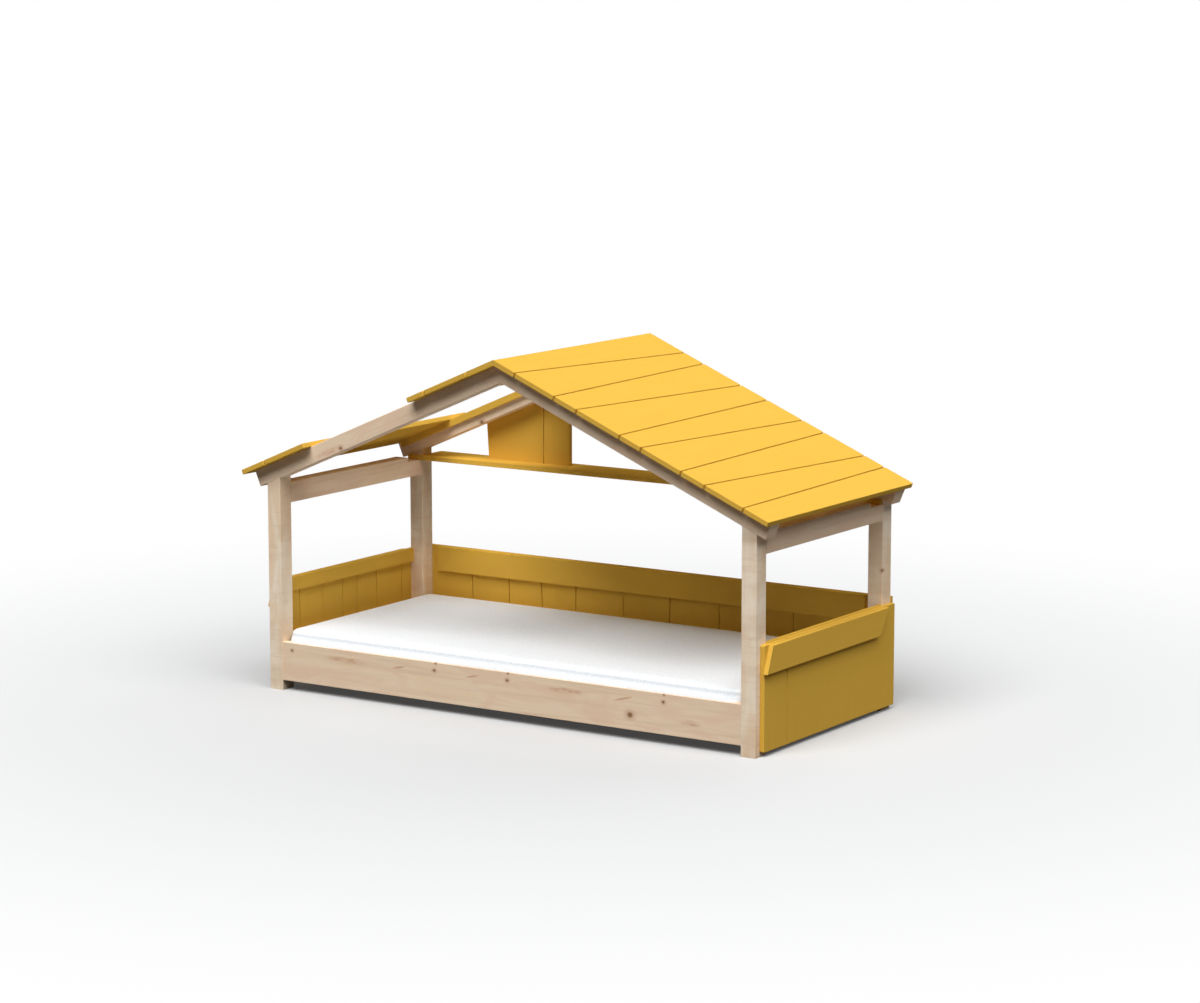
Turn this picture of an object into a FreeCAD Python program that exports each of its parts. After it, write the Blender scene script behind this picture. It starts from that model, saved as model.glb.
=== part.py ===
"""House frame bed for a child: a low bed between four posts, with a pitched board roof.

Millimetres. X runs along the bed, Y from front to back, Z up. The pieces are drawn from the
outer bottom corner of the front left post, and each is moved at the end, so that the origin
is on the floor under the middle of the whole object.
"""
import FreeCAD, Part
import math
import os

V = FreeCAD.Vector

# ---- mattress, which sets the inside of the frame
MATTRESS_L = 2000.0
MATTRESS_W = 900.0
MATTRESS_H = 150.0
MATTRESS_END_GAP = 1.0        # to each post
MATTRESS_FRONT_GAP = 2.8      # behind the front rail
MATTRESS_BACK_GAP = 5.0       # before the back rail
MATTRESS_CORNER_R = 38.0
MATTRESS_EDGE_R = 17.0        # top and bottom edges
MATTRESS_DRAW_IN = 3.0        # each side pulls in between its corners
MATTRESS_CROWN = 4.0
MATTRESS_EDGE_STEPS = 5
SOFT_GAP = 0.3                # between the mattress and the slats

# ---- posts
POST_W = 59.0                 # along X
POST_D = 66.5                 # along Y
POST_H = 782.0                # at the outer face, where the sloped top is lowest
LONG_EDGE_R = 2.0             # rounding of the long edges of posts, rails and rafters

# ---- rails between the posts
RAIL_T = 28.0
RAIL_H = 147.0
RAIL_FLOOR_GAP = 38.0         # floor to the underside of the rails
RAIL_INSET = 2.2              # the front rail stands behind the posts' front faces
UPPER_RAIL_H = 78.0
UPPER_RAIL_RISE = 2.0         # its top above the posts' outer edges
UPPER_RAIL_W = 59.0

# ---- slats
LEDGER_T = 22.0
LEDGER_H = 24.0
LEDGER_TOP = 67.0
LEDGER_END_GAP = 2.0
SLAT_T = 18.0
SLAT_W = 70.0
SLAT_COUNT = 14
SLAT_END_GAP = 1.0            # slat end to each rail
SLAT_POST_GAP = 14.0          # outermost slats to the posts

# ---- roof frame
PITCH = math.radians(23.0)
RAFTER_D = 61.0               # square to the slope
RAFTER_TAIL = 32.7            # lower corner of the tail, beyond the post
BATTEN_T = 18.0
BATTEN_D = 25.5
BATTEN_TAIL_GAP = 22.0        # batten end to rafter tail
BATTEN_RIDGE_GAP = 0.5

# ---- roof boards: places run down the slope from the ridge, on the boards' top faces,
# ---- each as (front end, back end); seams are the middles of the gaps between boards, and
# ---- those of the right slope are spread in proportion when its run changes
BOARD_T = 18.0
BOARD_EDGE_R = 1.5
BOARD_CORNER_R = 5.0
BOARD_SEAM = 4.5
ROOF_FRONT_OVERHANG = 44.0
ROOF_BACK_OVERHANG = 30.0
RIDGE_GAP = 0.6
RIGHT_SEAM_RUN = 1230.0       # the run from ridge to eave that these seams are for
RIGHT_SEAMS = [
    (101.0, 166.0),
    (283.0, 259.0),
    (385.0, 438.0),
    (580.0, 560.0),
    (675.0, 725.0),
    (852.0, 825.0),
    (955.0, 1010.0),
    (1123.0, 1100.0),
]
RIGHT_EAVE_OVERHANG = 9.4     # beyond the rafter tails
LEFT_UPPER_SEAMS = [(130.0, 118.0), (335.0, 296.0)]
LEFT_UPPER_RUN = 418.0        # from the ridge to the open bay
LEFT_EAVE_OVERHANG = 28.4
LEFT_LOWER_RUN = 317.0        # from the eave up to the open bay
LEFT_LOWER_SEAM = (114.0, 181.0)  # from the eave

# ---- shelf plank and boards of the back gable
PLANK_T = 18.0
PLANK_OVERHANG = 65.0         # its back edge, beyond the back posts
TONGUE_END_GAP = 4.0          # tongue end to the post's outer face
REBATE_L = 93.5               # the rebate in the upper rails, from the back posts
GABLE_LEFT = (335.0, 323.0)   # left edge at its foot and 200 higher up
GABLE_SEAM = 593.0
GABLE_RIGHT = 713.0
GABLE_TOP_GAP = 3.0           # board tops to the roof boards

# ---- end panels; a seam is (foot, head)
PANEL_FLOOR_GAP = 17.3
LEFT_END_TOP = 404.0
RIGHT_END_TOP = 394.0
END_PANEL_FRONT = 28.3
PANEL_SEAM = 3.0
END_SEAM_RUN = 966.0          # the frame's width that the end seams are for
LEFT_END_SEAMS = [
    (189.0, 183.0),
    (327.0, 331.0),
    (457.0, 453.0),
    (543.0, 547.0),
    (676.0, 672.0),
    (835.0, 839.0),
]
RIGHT_END_SEAMS = [(189.0, 183.0)]    # the right end has one narrow and one wide board
END_PLANK_H = 97.0
END_PLANK_DROP = 2.0          # plank top below the board tops
LEFT_PLANK_FRONT = (36.0, 74.0)
RIGHT_PLANK_FRONT = (19.0, 57.0)
END_PLANK_BACK = (138.0, 74.0)  # from the posts' back faces
INNER_RAIL_T = 15.0
INNER_RAIL_H = 50.0
INNER_RAIL_RISE = 2.0         # inner rail top above the board tops

# ---- back panel
BACK_PANEL_TOP = 416.0
BACK_SEAM_RUN = 2120.0        # the frame's length that the back seams are for
BACK_SEAMS = [
    (266.0, 244.0),
    (431.0, 426.0),
    (596.0, 574.0),
    (738.0, 743.0),
    (970.0, 954.0),
    (1164.0, 1174.0),
    (1397.0, 1384.0),
    (1550.0, 1556.0),
    (1714.0, 1711.0),
    (1922.0, 1912.0),
]
BACK_PLANK_H = 97.0
BACK_PLANK_END_GAP = 38.0     # plank end to each post
BACK_PLANK_DROP = 1.0

# ---- fasteners
BRACKET_T = 2.5
BRACKET_LEG = 25.0
BRACKET_H = 56.0
BRACKET_SLAT_GAP = 3.0        # its foot above the slats
BRACKET_CORNER_R = 5.0
BRACKET_SCREW_EDGE = 12.0     # from the bracket's foot and head
BRACKET_SCREW_L = 24.0
DOWEL_D = 10.0
DOWEL_L = 60.0
DOWEL_EDGE = 20.0
SHORT_DOWEL_D = 8.0           # of the battens and the end planks
SHORT_DOWEL_L = 24.0
BATTEN_DOWELS = 5             # between each batten and its rafter
PLANK_DOWELS = 5              # between each end plank and its boards
HOLE_GAP = 0.15               # all round dowels and screws
SCREW_D = 4.0
SCREW_HEAD_D = 8.0
SCREW_BITE = 12.0             # into the second piece

# ---- places that follow from the sizes above
FRAME_L = MATTRESS_L + 2 * (MATTRESS_END_GAP + POST_W)
FRONT_RAIL_BACK = RAIL_INSET + RAIL_T
MATTRESS_Y = FRONT_RAIL_BACK + MATTRESS_FRONT_GAP
BACK_RAIL_Y = MATTRESS_Y + MATTRESS_W + MATTRESS_BACK_GAP
FRAME_W = BACK_RAIL_Y + RAIL_T
INNER_L = FRAME_L - 2 * POST_W
MID_L = FRAME_L / 2
RAIL_TOP = RAIL_FLOOR_GAP + RAIL_H
SLAT_TOP = LEDGER_TOP + SLAT_T
BACK_POST_Y = FRAME_W - POST_D
COS = math.cos(PITCH)
SIN = math.sin(PITCH)
TAN = math.tan(PITCH)
APEX_Z = POST_H + MID_L * TAN            # underside of the rafters at the middle
RAFTER_END = (MID_L + RAFTER_TAIL) / COS
ROOF_V = RAFTER_D + BOARD_T              # board tops above the rafters' underside
RIDGE_U = -ROOF_V * TAN                  # ridge line, on the board tops
ROOF_FRONT = -ROOF_FRONT_OVERHANG
ROOF_BACK = FRAME_W + ROOF_BACK_OVERHANG
UPPER_RAIL_TOP = POST_H + UPPER_RAIL_RISE
REBATE_Y = BACK_POST_Y - REBATE_L
REBATE_Z = UPPER_RAIL_TOP - PLANK_T
PLANK_BACK = FRAME_W + PLANK_OVERHANG
RIGHT_EAVE = RAFTER_END - RIDGE_U + RIGHT_EAVE_OVERHANG
LEFT_EAVE = RAFTER_END - RIDGE_U + LEFT_EAVE_OVERHANG

LEFT, RIGHT = -1, 1


def slope(side, u, v, y):
    """The point u down the slope and v square to it, from the rafters' lower apex."""
    return V(MID_L + side * (u * COS + v * SIN), y, APEX_Z - u * SIN + v * COS)


def slope_vector(side):
    """The direction square to a slope, outwards."""
    return V(side * SIN, 0, COS)


def prism(points, direction):
    """A solid from a closed flat outline, pushed along a vector."""
    wire = Part.makePolygon(points + [points[0]])
    return Part.Face(wire).extrude(direction)


def box(x0, x1, y0, y1, z0, z1):
    return Part.makeBox(x1 - x0, y1 - y0, z1 - z0, V(x0, y0, z0))


def eased(solid, radius, shortest):
    """Rounds every straight edge that is at least so long."""
    edges = [e for e in solid.Edges if e.Length >= shortest]
    return solid.makeFillet(radius, edges)


def eased_board(solid, corner_r, edge_r, thick):
    """Rounds a board's corners, then the rims of both its faces."""
    corners = [e for e in solid.Edges if abs(e.Length - thick) < 0.01]
    solid = solid.makeFillet(corner_r, corners)
    rims = [e for e in solid.Edges if abs(e.Length - thick) > 0.01]
    return solid.makeFillet(edge_r, rims)


def same(solid):
    return solid


def mirrored(solid):
    """The same piece for the other end of the bed."""
    return solid.mirror(V(MID_L, 0, 0), V(1, 0, 0))


def rod(start, direction, length, diameter):
    return Part.makeCylinder(diameter / 2, length, start, direction)


def screw(start, direction, length, gap=0.0):
    """A countersunk screw, its flat head at start; gap widens it into its own hole."""
    head_r = SCREW_HEAD_D / 2
    shank_r = SCREW_D / 2
    cone_h = head_r - shank_r
    cone = Part.makeCone(head_r + gap, shank_r + gap, cone_h, start, direction)
    shank = rod(start, direction, length + gap, SCREW_D + 2 * gap)
    return cone.fuse(shank).removeSplitter()


# ---- every piece, by name, and every fastener with the pieces that it goes through
pieces = {}
fasteners = {}


def add(name, *solids):
    pieces.setdefault(name, []).extend(solids)


def drill(hole, names):
    """Cuts one hole through each solid of the named pieces that it reaches."""
    for name in names:
        for i, solid in enumerate(pieces[name]):
            if solid.BoundBox.intersect(hole.BoundBox):
                if solid.common(hole).Volume > 0.01:
                    pieces[name][i] = solid.cut(hole)


def drive(name, start, direction, length, into):
    """Puts in one screw."""
    fasteners.setdefault(name, []).append(screw(start, direction, length))
    drill(screw(start, direction, length, HOLE_GAP), into)


def peg(middle, direction, into, length=DOWEL_L, diameter=DOWEL_D):
    """Puts in one dowel."""
    first = middle - direction * (length / 2)
    fasteners.setdefault("dowels", []).append(rod(first, direction, length, diameter))
    hole_first = first - direction * HOLE_GAP
    drill(rod(hole_first, direction, length + 2 * HOLE_GAP, diameter + 2 * HOLE_GAP), into)


# ---- posts, cut to the slope on top
def make_post(y):
    profile = [
        V(0, y, 0),
        V(POST_W, y, 0),
        V(POST_W, y, POST_H + POST_W * TAN),
        V(0, y, POST_H),
    ]
    return eased(prism(profile, V(0, POST_D, 0)), LONG_EDGE_R, POST_H)


for where, y in (("front", 0), ("back", BACK_POST_Y)):
    post = make_post(y)
    add("post_%s_left" % where, post)
    add("post_%s_right" % where, mirrored(post))

# ---- lower rails
rail_x = (POST_W, FRAME_L - POST_W)
front_rail = box(*rail_x, RAIL_INSET, FRONT_RAIL_BACK, RAIL_FLOOR_GAP, RAIL_TOP)
back_rail = box(*rail_x, BACK_RAIL_Y, FRAME_W, RAIL_FLOOR_GAP, RAIL_TOP)
end_rail = box(0, RAIL_T, POST_D, BACK_POST_Y, RAIL_FLOOR_GAP, RAIL_TOP)
end_rail = eased(end_rail, LONG_EDGE_R, RAIL_H + 1)
add("front_rail", eased(front_rail, LONG_EDGE_R, RAIL_H + 1))
add("back_rail", eased(back_rail, LONG_EDGE_R, RAIL_H + 1))
add("left_end_rail", end_rail)
add("right_end_rail", mirrored(end_rail))

# ---- upper end rails, rebated for the tongues of the shelf plank
upper = box(0, UPPER_RAIL_W, POST_D, BACK_POST_Y, UPPER_RAIL_TOP - UPPER_RAIL_H, UPPER_RAIL_TOP)
upper = eased(upper, LONG_EDGE_R, UPPER_RAIL_H + 1)
upper = upper.cut(box(-1, UPPER_RAIL_W + 1, REBATE_Y, BACK_POST_Y + 1, REBATE_Z, POST_H + 9))
add("left_upper_rail", upper)
add("right_upper_rail", mirrored(upper))

# ---- rafters, mitred at the ridge, with square-cut tails
def make_rafter(side, y):
    profile = [
        slope(side, 0, 0, y),
        slope(side, RAFTER_END, 0, y),
        slope(side, RAFTER_END, RAFTER_D, y),
        slope(side, -RAFTER_D * TAN, RAFTER_D, y),
    ]
    return eased(prism(profile, V(0, POST_D, 0)), LONG_EDGE_R, MID_L)


def make_batten(side, y):
    low = RAFTER_D - BATTEN_D
    ridge = BATTEN_RIDGE_GAP / COS
    profile = [
        slope(side, ridge - low * TAN, low, y),
        slope(side, RAFTER_END - BATTEN_TAIL_GAP, low, y),
        slope(side, RAFTER_END - BATTEN_TAIL_GAP, RAFTER_D, y),
        slope(side, ridge - RAFTER_D * TAN, RAFTER_D, y),
    ]
    return prism(profile, V(0, BATTEN_T, 0))


batten_y = {"front": POST_D, "back": BACK_POST_Y - BATTEN_T}
for where, y in (("front", 0), ("back", BACK_POST_Y)):
    for side_name, side in (("left", LEFT), ("right", RIGHT)):
        add("rafter_%s_%s" % (where, side_name), make_rafter(side, y))
        add("batten_%s_%s" % (where, side_name), make_batten(side, batten_y[where]))


# ---- roof boards
def roof_board(side, top, bottom, ridge_cut=False):
    """A board between two edges, each given by its places at the front and back ends."""
    v = RAFTER_D
    if not ridge_cut:
        outline = [
            slope(side, RIDGE_U + top[0], v, ROOF_FRONT),
            slope(side, RIDGE_U + bottom[0], v, ROOF_FRONT),
            slope(side, RIDGE_U + bottom[1], v, ROOF_BACK),
            slope(side, RIDGE_U + top[1], v, ROOF_BACK),
        ]
        board = prism(outline, slope_vector(side) * BOARD_T)
        return eased_board(board, BOARD_CORNER_R, BOARD_EDGE_R, BOARD_T)
    outline = [
        slope(side, RIDGE_U - BOARD_T, v, ROOF_FRONT),
        slope(side, RIDGE_U + bottom[0], v, ROOF_FRONT),
        slope(side, RIDGE_U + bottom[1], v, ROOF_BACK),
        slope(side, RIDGE_U - BOARD_T, v, ROOF_BACK),
    ]
    board = prism(outline, slope_vector(side) * BOARD_T)
    reach = 2 * BOARD_T
    x0 = MID_L + side * RIDGE_GAP / 2
    x1 = x0 - side * 4 * reach
    keep_out = box(min(x0, x1), max(x0, x1), ROOF_FRONT - 9, ROOF_BACK + 9, APEX_Z - 9, APEX_Z + 400)
    board = board.cut(keep_out)
    rims = [e for e in board.Edges if e.Length > ROOF_BACK / 2 and e.CenterOfMass.z > APEX_Z]
    return board.makeFillet(BOARD_EDGE_R, rims)


def spread(seams, stretch):
    """The seams of a run that is longer or shorter than the one they are for."""
    return [(a * stretch, b * stretch) for a, b in seams]


def board_edges(start, seams, end, gap):
    """The two edges of each board between two ends, a seam's gap shared by its neighbours.

    An edge is (front end, back end) or (foot, head).
    """
    half = gap / 2
    firsts = [(start, start)] + [(a + half, b + half) for a, b in seams]
    lasts = [(a - half, b - half) for a, b in seams] + [(end, end)]
    return list(zip(firsts, lasts))


lower_seam = (LEFT_EAVE - LEFT_LOWER_SEAM[0], LEFT_EAVE - LEFT_LOWER_SEAM[1])
right_seams = spread(RIGHT_SEAMS, RIGHT_EAVE / RIGHT_SEAM_RUN)
roof_runs = [
    ("right_roof_board", RIGHT, 0.0, right_seams, RIGHT_EAVE),
    ("left_upper_roof_board", LEFT, 0.0, LEFT_UPPER_SEAMS, LEFT_UPPER_RUN),
    ("left_lower_roof_board", LEFT, LEFT_EAVE - LEFT_LOWER_RUN, [lower_seam], LEFT_EAVE),
]
roof_boards = []
for stem, side, start, seams, end in roof_runs:
    edges = board_edges(start, seams, end, BOARD_SEAM)
    for number, (top, bottom) in enumerate(edges, 1):
        name = "%s_%d" % (stem, number)
        add(name, roof_board(side, top, bottom, top[0] == 0))
        roof_boards.append((name, side, top, bottom))

# ---- shelf plank across the back, with a tongue into the rebate of each upper rail
plank_y = BACK_POST_Y - BATTEN_T
plank = box(POST_W, FRAME_L - POST_W, plank_y, PLANK_BACK, REBATE_Z, UPPER_RAIL_TOP)
tongues = box(TONGUE_END_GAP, FRAME_L - TONGUE_END_GAP, plank_y, BACK_POST_Y, REBATE_Z, UPPER_RAIL_TOP)
add("shelf_plank", plank.fuse(tongues).removeSplitter())

# ---- gable boards, standing on the shelf plank behind the back rafters
def gable_board(left_foot, left_up, right):
    top = APEX_Z + ROOF_V / COS
    lean = (left_up - left_foot) / 200.0
    profile = [
        V(left_foot, FRAME_W, UPPER_RAIL_TOP),
        V(right, FRAME_W, UPPER_RAIL_TOP),
        V(right, FRAME_W, top),
        V(left_foot + lean * (top - UPPER_RAIL_TOP), FRAME_W, top),
    ]
    board = prism(profile, V(0, BOARD_T, 0))
    v = RAFTER_D - GABLE_TOP_GAP
    y = FRAME_W - 9
    above = [
        slope(LEFT, -v * TAN, v, y),
        slope(LEFT, RAFTER_END, v, y),
        slope(LEFT, RAFTER_END, v + MID_L, y),
        slope(LEFT, -v * TAN - MID_L, v + MID_L, y),
    ]
    return board.cut(prism(above, V(0, BOARD_T + 18, 0)))


half_seam = PANEL_SEAM / 2
add("gable_board_left", gable_board(GABLE_LEFT[0], GABLE_LEFT[1], GABLE_SEAM - half_seam))
add("gable_board_right", gable_board(GABLE_SEAM + half_seam, GABLE_SEAM + half_seam, GABLE_RIGHT))


# ---- upright boards of the end and back panels
def upright(points, direction, rounded=()):
    """A board with eased edges; its corners are rounded at the given points of its outline."""
    board = prism(points, direction)
    across = [e for e in board.Edges if abs(e.Length - BOARD_T) < 0.01]
    corners = [e for e in across if any(e.distToShape(Part.Vertex(p))[0] < 0.01 for p in rounded)]
    if corners:
        board = board.makeFillet(BOARD_CORNER_R, corners)
    return eased(board, BOARD_EDGE_R, 2 * BOARD_T)


def end_board(low, high, top):
    """A board of an end panel, its corners rounded where the panel ends."""
    outline = [
        V(-BOARD_T, low[0], PANEL_FLOOR_GAP),
        V(-BOARD_T, high[0], PANEL_FLOOR_GAP),
        V(-BOARD_T, high[1], top),
        V(-BOARD_T, low[1], top),
    ]
    rounded = [p for p in outline if p.y in (END_PANEL_FRONT, FRAME_W)]
    return upright(outline, V(BOARD_T, 0, 0), rounded)


# ---- each end is drawn at the left, then put in its place: boards, the outer plank along their
# ---- top and the inner rail behind them
ends = [
    ("left", same, LEFT_END_TOP, LEFT_PLANK_FRONT, LEFT_END_SEAMS),
    ("right", mirrored, RIGHT_END_TOP, RIGHT_PLANK_FRONT, RIGHT_END_SEAMS),
]
end_edges = {}
for side_name, place, top, plank_front, seams in ends:
    end_seams = spread(seams, FRAME_W / END_SEAM_RUN)
    end_edges[side_name] = board_edges(END_PANEL_FRONT, end_seams, FRAME_W, PANEL_SEAM)
    for low, high in end_edges[side_name]:
        add(side_name + "_end_boards", place(end_board(low, high, top)))
    plank_top = top - END_PLANK_DROP
    plank_low = plank_top - END_PLANK_H
    outline = [
        V(-2 * BOARD_T, plank_front[0], plank_low),
        V(-2 * BOARD_T, FRAME_W - END_PLANK_BACK[0], plank_low),
        V(-2 * BOARD_T, FRAME_W - END_PLANK_BACK[1], plank_top),
        V(-2 * BOARD_T, plank_front[1], plank_top),
    ]
    add(side_name + "_end_plank", place(upright(outline, V(BOARD_T, 0, 0))))
    inner_top = top + INNER_RAIL_RISE
    inner_rail = box(0, INNER_RAIL_T, POST_D, BACK_POST_Y, inner_top - INNER_RAIL_H, inner_top)
    add(side_name + "_inner_rail", place(inner_rail))

# ---- back panel, with a plank along the inside of its boards
back_seams = spread(BACK_SEAMS, FRAME_L / BACK_SEAM_RUN)
back_edges = board_edges(0.0, back_seams, FRAME_L, PANEL_SEAM)
for low, high in back_edges:
    outline = [
        V(low[0], FRAME_W, PANEL_FLOOR_GAP),
        V(high[0], FRAME_W, PANEL_FLOOR_GAP),
        V(high[1], FRAME_W, BACK_PANEL_TOP),
        V(low[1], FRAME_W, BACK_PANEL_TOP),
    ]
    add("back_boards", upright(outline, V(0, BOARD_T, 0)))

back_plank_x = POST_W + BACK_PLANK_END_GAP
back_plank_top = BACK_PANEL_TOP - BACK_PLANK_DROP
back_plank_low = back_plank_top - BACK_PLANK_H
back_plank_y = FRAME_W - BOARD_T
back_plank = box(
    back_plank_x, FRAME_L - back_plank_x, back_plank_y, FRAME_W, back_plank_low, back_plank_top
)
add("back_plank", eased(back_plank, BOARD_EDGE_R, 2 * BOARD_T))

# ---- slats on ledgers
ledger_x = (POST_W + LEDGER_END_GAP, FRAME_L - POST_W - LEDGER_END_GAP)
ledger_z = (LEDGER_TOP - LEDGER_H, LEDGER_TOP)
add("front_slat_ledger", box(*ledger_x, FRONT_RAIL_BACK, FRONT_RAIL_BACK + LEDGER_T, *ledger_z))
add("back_slat_ledger", box(*ledger_x, BACK_RAIL_Y - LEDGER_T, BACK_RAIL_Y, *ledger_z))
slat_first = POST_W + SLAT_POST_GAP
slat_step = (FRAME_L - 2 * slat_first - SLAT_W) / (SLAT_COUNT - 1)
slat_y = (FRONT_RAIL_BACK + SLAT_END_GAP, BACK_RAIL_Y - SLAT_END_GAP)
slat_centres = []
for i in range(SLAT_COUNT):
    x = slat_first + i * slat_step
    slat_centres.append(x + SLAT_W / 2)
    add("slats", box(x, x + SLAT_W, *slat_y, LEDGER_TOP, SLAT_TOP))


# ---- mattress: crowned, with drawn-in sides and rounded edges
def mattress_ring(z, inset):
    """One level of the mattress, its sides as long arcs that bow inwards."""
    x0 = POST_W + MATTRESS_END_GAP + inset
    x1 = x0 + MATTRESS_L - 2 * inset
    y0 = MATTRESS_Y + inset
    y1 = y0 + MATTRESS_W - 2 * inset
    r = MATTRESS_CORNER_R
    d = MATTRESS_DRAW_IN
    k = r * (1 - math.sqrt(0.5))
    xm = (x0 + x1) / 2
    ym = (y0 + y1) / 2
    arcs = [
        (V(x0 + r, y0, z), V(xm, y0 + d, z), V(x1 - r, y0, z)),
        (V(x1 - r, y0, z), V(x1 - k, y0 + k, z), V(x1, y0 + r, z)),
        (V(x1, y0 + r, z), V(x1 - d, ym, z), V(x1, y1 - r, z)),
        (V(x1, y1 - r, z), V(x1 - k, y1 - k, z), V(x1 - r, y1, z)),
        (V(x1 - r, y1, z), V(xm, y1 - d, z), V(x0 + r, y1, z)),
        (V(x0 + r, y1, z), V(x0 + k, y1 - k, z), V(x0, y1 - r, z)),
        (V(x0, y1 - r, z), V(x0 + d, ym, z), V(x0, y0 + r, z)),
        (V(x0, y0 + r, z), V(x0 + k, y0 + k, z), V(x0 + r, y0, z)),
    ]
    return Part.Wire([Part.Arc(*points).toShape() for points in arcs])


def mattress_levels():
    """Levels from the underside up, as (height, inset)."""
    r = MATTRESS_EDGE_R
    turns = [math.radians(90.0 * i / MATTRESS_EDGE_STEPS) for i in range(MATTRESS_EDGE_STEPS + 1)]
    foot = [(r * (1 - math.cos(a)), r * (1 - math.sin(a))) for a in turns]
    head = [(MATTRESS_H - MATTRESS_CROWN - z, inset) for z, inset in reversed(foot)]
    crown = [(MATTRESS_H - 0.35 * MATTRESS_CROWN, 4 * r), (MATTRESS_H, 11 * r)]
    return foot + head + crown


mattress_z = SLAT_TOP + SOFT_GAP
rings = [mattress_ring(mattress_z + z, inset) for z, inset in mattress_levels()]
add("mattress", Part.makeLoft(rings, True, True))

# ---- steel angles that hold the front and back rails to the posts, in the corners inside
bracket_z = SLAT_TOP + BRACKET_SLAT_GAP


def make_bracket():
    """The angle behind the front rail at the left post, with its countersinks still to drill."""
    x, y, z = POST_W, FRONT_RAIL_BACK, bracket_z
    on_post = box(x, x + BRACKET_T, y, y + BRACKET_LEG, z, z + BRACKET_H)
    on_rail = box(x, x + BRACKET_LEG, y, y + BRACKET_T, z, z + BRACKET_H)
    angle = on_post.fuse(on_rail).removeSplitter()
    tips = [e for e in angle.Edges if abs(e.Length - BRACKET_T) < 0.01]
    return angle.makeFillet(BRACKET_CORNER_R, tips)


def to_back(solid):
    """The same piece for the back corner."""
    return solid.mirror(V(0, (FRONT_RAIL_BACK + BACK_RAIL_Y) / 2, 0), V(0, 1, 0))


bracket_middle = (BRACKET_T + BRACKET_LEG) / 2
bracket_screws = []
for z in (bracket_z + BRACKET_SCREW_EDGE, bracket_z + BRACKET_H - BRACKET_SCREW_EDGE):
    into_post = V(POST_W + BRACKET_T, FRONT_RAIL_BACK + bracket_middle, z)
    into_rail = V(POST_W + bracket_middle, FRONT_RAIL_BACK + BRACKET_T, z)
    bracket_screws.append((into_post, V(-1, 0, 0), "post"))
    bracket_screws.append((into_rail, V(0, -1, 0), "rail"))
for where, fore in (("front", same), ("back", to_back)):
    for side_name, aside in (("left", same), ("right", mirrored)):
        bracket = aside(fore(make_bracket()))
        for start, way, into in bracket_screws:
            target = "%s_rail" % where if into == "rail" else "post_%s_%s" % (where, side_name)
            hole = aside(fore(screw(start, way, BRACKET_SCREW_L, HOLE_GAP)))
            bracket = bracket.cut(hole)
            drill(hole, [target])
            one = aside(fore(screw(start, way, BRACKET_SCREW_L)))
            fasteners.setdefault("bracket_screws", []).append(one)
        add("corner_brackets", bracket)

# ---- dowels: rails to the posts, posts to the rafters, the ridge, and the end planks
along_x = V(1, 0, 0)
along_y = V(0, 1, 0)
upper_low = UPPER_RAIL_TOP - UPPER_RAIL_H
for side_name, flip in (("left", False), ("right", True)):
    for where, y in (("front", POST_D), ("back", BACK_POST_Y)):
        post = "post_%s_%s" % (where, side_name)
        spots = [
            (RAIL_T / 2, RAIL_FLOOR_GAP + DOWEL_EDGE, side_name + "_end_rail"),
            (RAIL_T / 2, RAIL_TOP - DOWEL_EDGE, side_name + "_end_rail"),
            (DOWEL_EDGE, upper_low + DOWEL_EDGE, side_name + "_upper_rail"),
            (UPPER_RAIL_W - DOWEL_EDGE, upper_low + DOWEL_EDGE, side_name + "_upper_rail"),
        ]
        for x, z, rail in spots:
            place = V(FRAME_L - x if flip else x, y, z)
            peg(place, along_y, [post, rail])
        middle = POST_W / 2
        x = FRAME_L - middle if flip else middle
        y_mid = POST_D / 2 if where == "front" else BACK_POST_Y + POST_D / 2
        rafter = "rafter_%s_%s" % (where, side_name)
        peg(V(x, y_mid, POST_H + middle * TAN), V(0, 0, 1), [post, rafter])
        rail_y = RAIL_INSET + RAIL_T / 2 if where == "front" else FRAME_W - RAIL_T / 2
        for z in (RAIL_FLOOR_GAP + DOWEL_EDGE, RAIL_TOP - DOWEL_EDGE):
            place = V(FRAME_L - POST_W if flip else POST_W, rail_y, z)
            peg(place, along_x, [post, where + "_rail"])
for where, y in (("front", POST_D / 2), ("back", BACK_POST_Y + POST_D / 2)):
    both = ["rafter_%s_left" % where, "rafter_%s_right" % where]
    for z in (APEX_Z + DOWEL_EDGE, APEX_Z + RAFTER_D / COS - DOWEL_EDGE):
        peg(V(MID_L, y, z), along_x, both)
for side_name, place, top, plank_front, seams in ends:
    x = -BOARD_T if side_name == "left" else FRAME_L + BOARD_T
    z = top - END_PLANK_DROP - 2 * END_PLANK_H / 3
    plank_run = FRAME_W - END_PLANK_BACK[0] - plank_front[1]
    for i in range(PLANK_DOWELS):
        y = plank_front[1] + plank_run * (i + 0.5) / PLANK_DOWELS
        names = [side_name + "_end_boards", side_name + "_end_plank"]
        peg(V(x, y, z), along_x, names, SHORT_DOWEL_L, SHORT_DOWEL_D)

# ---- screws of the roof boards, up through the battens, and dowels of the battens
def clear_of(u, taken):
    """A place down the slope from u that keeps two screw heads away from the taken ones."""
    while any(abs(u - other) < 2 * SCREW_HEAD_D for other in taken):
        u += SCREW_D
    return u


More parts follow.
